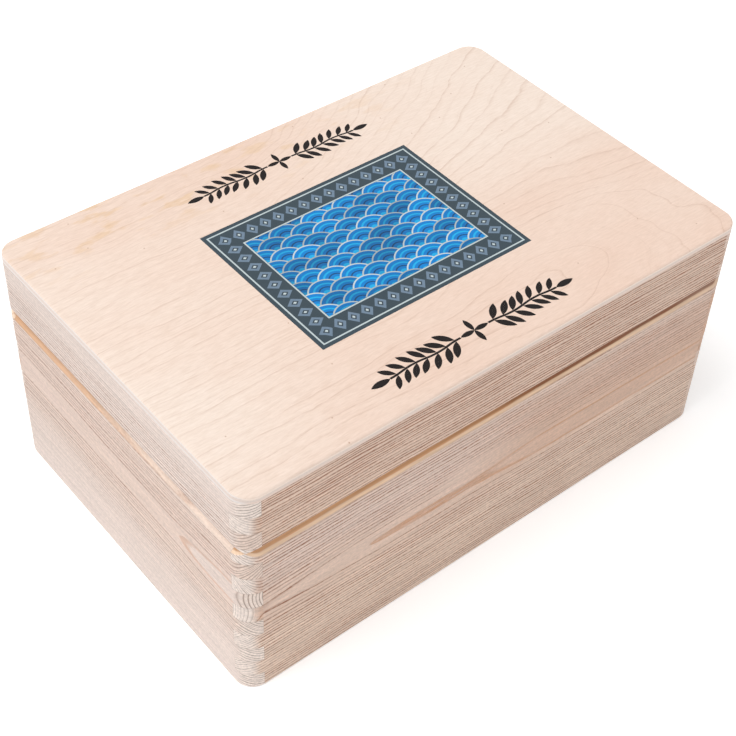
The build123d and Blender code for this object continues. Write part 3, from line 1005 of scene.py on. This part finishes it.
# Width of a leaf as a share of its length, and length of a petal as a share of the middle's reach
LEAF_WIDTH = 0.34
PETAL_LENGTH = 0.86

# Pairs of leaves on each side, and where they start and how far they reach, as shares of the stem
LEAF_PAIRS = 7
PAIRS_START = 0.05
PAIRS_REACH = 0.85

# Angle of the leaves to the stem, how much smaller the last ones are, and how far the stem itself turns
LEAF_ANGLE = radians(50)
LEAF_SHRINK = 0.22
STEM_SWING = radians(9)

# Facets of the circle that a leaf is cut from, and of each arc of the stem
CIRCLE_FACETS = 96
STEM_FACETS = 14


def left_of(heading):
    """Unit vector to the left of a heading."""
    return Vector((-sin(heading), cos(heading), 0.0))


def leaf_shape(length, width):
    """A flat leaf along X, bounded by two arcs, with its stalk end at the origin."""
    half = length / 2
    radius = half * half / width + width / 4
    clear_selection()
    place = (half, width / 2 - radius, 0.0)
    bpy.ops.mesh.primitive_circle_add(vertices=CIRCLE_FACETS, radius=radius, fill_type="NGON", location=place)
    leaf = bpy.context.object
    apply_place()
    bpy.ops.object.mode_set(mode="EDIT")
    bpy.ops.mesh.select_all(action="SELECT")
    bpy.ops.mesh.bisect(plane_co=(0.0, 0.0, 0.0), plane_no=(0.0, 1.0, 0.0), clear_inner=True)
    bpy.ops.object.mode_set(mode="OBJECT")
    apply_modifier(leaf, "MIRROR", "other_half", use_axis=(False, True, False), merge_threshold=0.00001)
    return leaf


def copy_to(pattern, place, turn, size=1.0):
    """A copy of a flat shape with its own mesh, turned and sized about its origin and moved to a place."""
    select_only(pattern)
    bpy.ops.object.duplicate(linked=False)
    copy = bpy.context.object
    copy.rotation_euler = (0.0, 0.0, turn)
    copy.scale = (size, size, 1.0)
    copy.location = (*place, 0.0)
    apply_place()
    return copy


def stem_arcs(start, length, swing):
    """Arcs of a stem that starts level on the X axis and waves along it: centre, radius, heading and turn."""
    turns = (-swing, 2 * swing, -2 * swing, swing)
    radius = length / (6 * sin(swing))
    place = Vector((start, 0.0, 0.0))
    heading = 0.0
    arcs = []
    for turn in turns:
        to_centre = radius * (1 if turn > 0 else -1)
        centre = place + to_centre * left_of(heading)
        arcs.append((centre, to_centre, heading, turn))
        heading += turn
        place = centre - to_centre * left_of(heading)
    return arcs


def place_on_stem(arcs, share):
    """Place and heading at a share of the stem's length."""
    left = share * sum(abs(turn) for _, _, _, turn in arcs)
    for centre, to_centre, heading, turn in arcs:
        if left <= abs(turn) or arcs[-1][0] is centre:
            break
        left -= abs(turn)
    heading += left * (1 if turn > 0 else -1)
    return centre - to_centre * left_of(heading), heading


def stem_ribbon(arcs, start, width):
    """A flat ribbon spun along the arcs."""
    clear_selection()
    bpy.ops.mesh.primitive_plane_add(size=width, location=(start - width / 2, 0.0, 0.0))
    ribbon = bpy.context.object
    apply_place()
    bpy.ops.object.mode_set(mode="EDIT")
    select_edges(ribbon, lambda a, b: min(a.x, b.x) > start - width / 4)
    for centre, _, _, turn in arcs:
        bpy.ops.mesh.spin(steps=STEM_FACETS, angle=-turn, center=centre, axis=(0.0, 0.0, 1.0))
    bpy.ops.object.mode_set(mode="OBJECT")
    return ribbon


def join_all(pieces):
    """Joins flat shapes into the first of them."""
    clear_selection()
    for piece in pieces:
        piece.select_set(True)
    bpy.context.view_layer.objects.active = pieces[0]
    bpy.ops.object.join()
    return pieces[0]


def garland(length, height, centre, thickness):
    """A leaf garland: four petals in the middle, and a waving stem with paired leaves on each side."""
    leaf_length = height * LEAF_LENGTH
    stem_width = height * STEM_WIDTH
    start = height * MIDDLE_REACH
    arcs = stem_arcs(start, length / 2 - leaf_length - start, STEM_SWING)
    pattern = leaf_shape(leaf_length, leaf_length * LEAF_WIDTH)
    half = [stem_ribbon(arcs, start, stem_width)]
    for index in range(LEAF_PAIRS):
        share = PAIRS_START + PAIRS_REACH * index / (LEAF_PAIRS - 1)
        place, heading = place_on_stem(arcs, share)
        for side in (1, -1):
            edge = place + side * stem_width / 2 * left_of(heading)
            half.append(copy_to(pattern, edge.xy, heading + side * LEAF_ANGLE, 1.0 - LEAF_SHRINK * share))
    end, _ = place_on_stem(arcs, 1.0)
    half.append(copy_to(pattern, end.xy, 0.0))
    joined = join_all(half)
    apply_modifier(joined, "MIRROR", "other_half", use_axis=(True, False, False), use_mirror_merge=False)
    petal_size = start * PETAL_LENGTH / leaf_length
    petals = [copy_to(pattern, (0.0, 0.0), quarter * pi / 2, petal_size) for quarter in range(4)]
    joined = join_all([joined] + petals)
    select_only(pattern)
    bpy.ops.object.delete()
    select_only(joined)
    joined.location = (centre[0] * MM, centre[1] * MM, cad_high.z)
    apply_place()
    apply_modifier(joined, "SOLIDIFY", "ink", thickness=thickness, offset=-1.0)
    return joined


class GIFTBOX_OT_printed_ornaments(bpy.types.Operator):
    """Model the two black leaf garlands behind and in front of the panel"""

    bl_idname = "gift_box.printed_ornaments"
    bl_label = "Printed ornaments"

    def execute(self, context):
        finish = context.scene.gift_box_print
        material = black_ink_material(finish)
        for name, spec in ORNAMENTS.items():
            thickness = finish.thickness + INK_SINK * MM
            piece = garland(spec["length"] * MM, spec["height"] * MM, spec["centre"], thickness)
            settle(piece, name, material, LID)
        return {"FINISHED"}


class GIFTBOX_OT_hinges(bpy.types.Operator):
    """Finish the hinge leaves and pins"""

    bl_idname = "gift_box.hinges"
    bl_label = "Hinges"

    def execute(self, context):
        finish = context.scene.gift_box_hardware
        leaf = plated_material("hinge_plating", finish.plated, finish.tarnish, 0.34)
        pin = plated_material("pin_steel", finish.bright, finish.tarnish, 0.28)
        for side in ("left", "right"):
            paint_node(side + "_hinge_body_leaf", leaf)
            paint_node(side + "_hinge_lid_leaf", leaf)
            paint_node(side + "_hinge_pin", pin)
        return {"FINISHED"}


class GIFTBOX_OT_screws(bpy.types.Operator):
    """Finish the hinge screws"""

    bl_idname = "gift_box.screws"
    bl_label = "Screws"

    def execute(self, context):
        finish = context.scene.gift_box_hardware
        material = plated_material("screw_plating", finish.plated, finish.tarnish, 0.3)
        for side in ("left", "right"):
            paint_node(side + "_hinge_body_screws", material)
            paint_node(side + "_hinge_lid_screws", material)
        return {"FINISHED"}


def aim_camera(settings):
    """Matrix of the camera from its turn, height, roll and distance."""
    turn, height, roll = settings.azimuth, settings.elevation, settings.roll
    back = Vector((sin(turn) * cos(height), -cos(turn) * cos(height), sin(height)))
    level_right = (-back).cross(Vector((0.0, 0.0, 1.0))).normalized()
    level_up = level_right.cross(-back)
    right = cos(roll) * level_right + sin(roll) * level_up
    up = -sin(roll) * level_right + cos(roll) * level_up
    target = Vector((0.0, 0.0, settings.aim_height)) + right * settings.aim_right + up * settings.aim_up
    place = target + back * settings.distance
    matrix = Matrix((right, up, back)).transposed().to_4x4()
    matrix.translation = place
    return matrix


def area_lamp(context, name, power, size, place, target):
    """A square soft lamp that points at a target."""
    clear_selection()
    bpy.ops.object.light_add(type="AREA", location=place)
    lamp = context.object
    lamp.name = name
    lamp.data.energy = power
    lamp.data.shape = "SQUARE"
    lamp.data.size = size
    lamp.rotation_euler = (Vector(target) - Vector(place)).to_track_quat("-Z", "Y").to_euler()
    return lamp


def studio_world(strength):
    """A world that lights the box evenly from all round and shows as white behind it."""
    world = bpy.data.worlds.new("studio_world")
    world.use_nodes = True
    tree = world.node_tree
    tree.nodes.clear()
    mix = tree.nodes.new("ShaderNodeMixShader")
    tree.links.new(seen_directly(tree), mix.inputs[0])
    for place, power in ((1, strength), (2, 1.0)):
        sky = tree.nodes.new("ShaderNodeBackground")
        sky.inputs[0].default_value = (1.0, 1.0, 1.0, 1.0)
        sky.inputs[1].default_value = power
        tree.links.new(sky.outputs[0], mix.inputs[place])
    output = tree.nodes.new("ShaderNodeOutputWorld")
    tree.links.new(mix.outputs[0], output.inputs[0])
    return world


# Each lamp's name, setting, width and place, the point that both light, and the floor's gap below the box.
# All are in metres.
LAMPS = (
    ("key_lamp", "key_power", 1.8, (-1.15, 0.35, 2.35)),
    ("fill_lamp", "fill_power", 1.6, (0.9, -1.9, 1.0)),
)
LIT_POINT = (0.0, 0.0, 0.06)
FLOOR_GAP = 0.00005

# Width of the camera's sensor, in millimetres, and the range that it sees, in metres
SENSOR_WIDTH = 36.0
SIGHT = (0.01, 100.0)


class GIFTBOX_OT_studio(bpy.types.Operator):
    """Build the pale floor, the soft lights and the camera"""

    bl_idname = "gift_box.studio"
    bl_label = "Studio"

    def execute(self, context):
        settings = context.scene.gift_box_studio
        clear_selection()
        bpy.ops.mesh.primitive_plane_add(size=settings.floor_size, location=(0.0, 0.0, -FLOOR_GAP))
        floor = context.object
        floor.name = "studio_floor"
        floor.data.materials.append(floor_material(settings))
        for name, power, size, place in LAMPS:
            area_lamp(context, name, getattr(settings, power), size, place, LIT_POINT)
        clear_selection()
        bpy.ops.object.camera_add()
        camera = context.object
        camera.name = "photo_camera"
        camera.data.lens = settings.focal_length
        camera.data.sensor_width = SENSOR_WIDTH
        camera.data.clip_start, camera.data.clip_end = SIGHT
        camera.matrix_world = aim_camera(settings)
        context.scene.camera = camera
        context.scene.world = studio_world(settings.sky)
        context.scene.view_settings.view_transform = "Standard"
        return {"FINISHED"}


def seen_directly(tree):
    """Socket that is 1 for camera, reflected and transmitted rays, and 0 for the light."""
    rays = tree.nodes.new("ShaderNodeLightPath")
    seen = rays.outputs["Is Camera Ray"]
    for name in ("Is Glossy Ray", "Is Transmission Ray"):
        either = tree.nodes.new("ShaderNodeMath")
        either.operation = "MAXIMUM"
        tree.links.new(seen, either.inputs[0])
        tree.links.new(rays.outputs[name], either.inputs[1])
        seen = either.outputs[0]
    return seen


def floor_material(settings):
    """Pale floor that looks nearly white to the camera and keeps a soft shadow."""
    sheet = NodeSheet("studio_floor")
    tree = sheet.tree
    matt = sheet.node("ShaderNodeBsdfDiffuse", {"Color": settings.floor})
    x, y, _ = sheet.places()
    far = distance(x, y).span(500.0, 2000.0, 0.35, 0.62)
    glow = sheet.node("ShaderNodeEmission", {"Color": settings.floor, "Strength": far})
    both = sheet.node("ShaderNodeAddShader", {})
    tree.links.new(matt.outputs[0], both.inputs[0])
    tree.links.new(glow.outputs[0], both.inputs[1])
    mix = sheet.node("ShaderNodeMixShader", {0: seen_directly(tree)})
    tree.links.new(matt.outputs[0], mix.inputs[1])
    tree.links.new(both.outputs[0], mix.inputs[2])
    tree.links.new(mix.outputs[0], sheet.output.inputs[0])
    return sheet.material


class GIFTBOX_PT_sidebar(bpy.types.Panel):
    """Lists the steps that finish the box"""

    bl_idname = "GIFTBOX_PT_sidebar"
    bl_label = "Keepsake box"
    bl_space_type = "VIEW_3D"
    bl_region_type = "UI"
    bl_category = "Keepsake Box"

    def draw(self, context):
        for step in STEPS:
            self.layout.operator(step.bl_idname)


STEPS = (
    GIFTBOX_OT_pine_boards,
    GIFTBOX_OT_plywood_top,
    GIFTBOX_OT_plywood_bottom,
    GIFTBOX_OT_printed_panel,
    GIFTBOX_OT_printed_ornaments,
    GIFTBOX_OT_hinges,
    GIFTBOX_OT_screws,
    GIFTBOX_OT_studio,
)

SETTINGS = {
    "gift_box_pine": BoardFinish,
    "gift_box_plywood": PlywoodFinish,
    "gift_box_print": PrintFinish,
    "gift_box_hardware": HardwareFinish,
    "gift_box_studio": StudioSettings,
}


def register():
    """Registers the settings, the steps and the sidebar."""
    for name, group in SETTINGS.items():
        bpy.utils.register_class(group)
        setattr(bpy.types.Scene, name, PointerProperty(type=group))
    for step in STEPS:
        bpy.utils.register_class(step)
    bpy.utils.register_class(GIFTBOX_PT_sidebar)


def unregister():
    """Takes them out again."""
    bpy.utils.unregister_class(GIFTBOX_PT_sidebar)
    for step in reversed(STEPS):
        bpy.utils.unregister_class(step)
    for name, group in SETTINGS.items():
        delattr(bpy.types.Scene, name)
        bpy.utils.unregister_class(group)


def main():
    """Runs every step in order."""
    register()
    bpy.ops.gift_box.pine_boards()
    bpy.ops.gift_box.plywood_top()
    bpy.ops.gift_box.plywood_bottom()
    bpy.ops.gift_box.printed_panel()
    bpy.ops.gift_box.printed_ornaments()
    bpy.ops.gift_box.hinges()
    bpy.ops.gift_box.screws()
    bpy.ops.gift_box.studio()


if __name__ == "__main__":
    main()
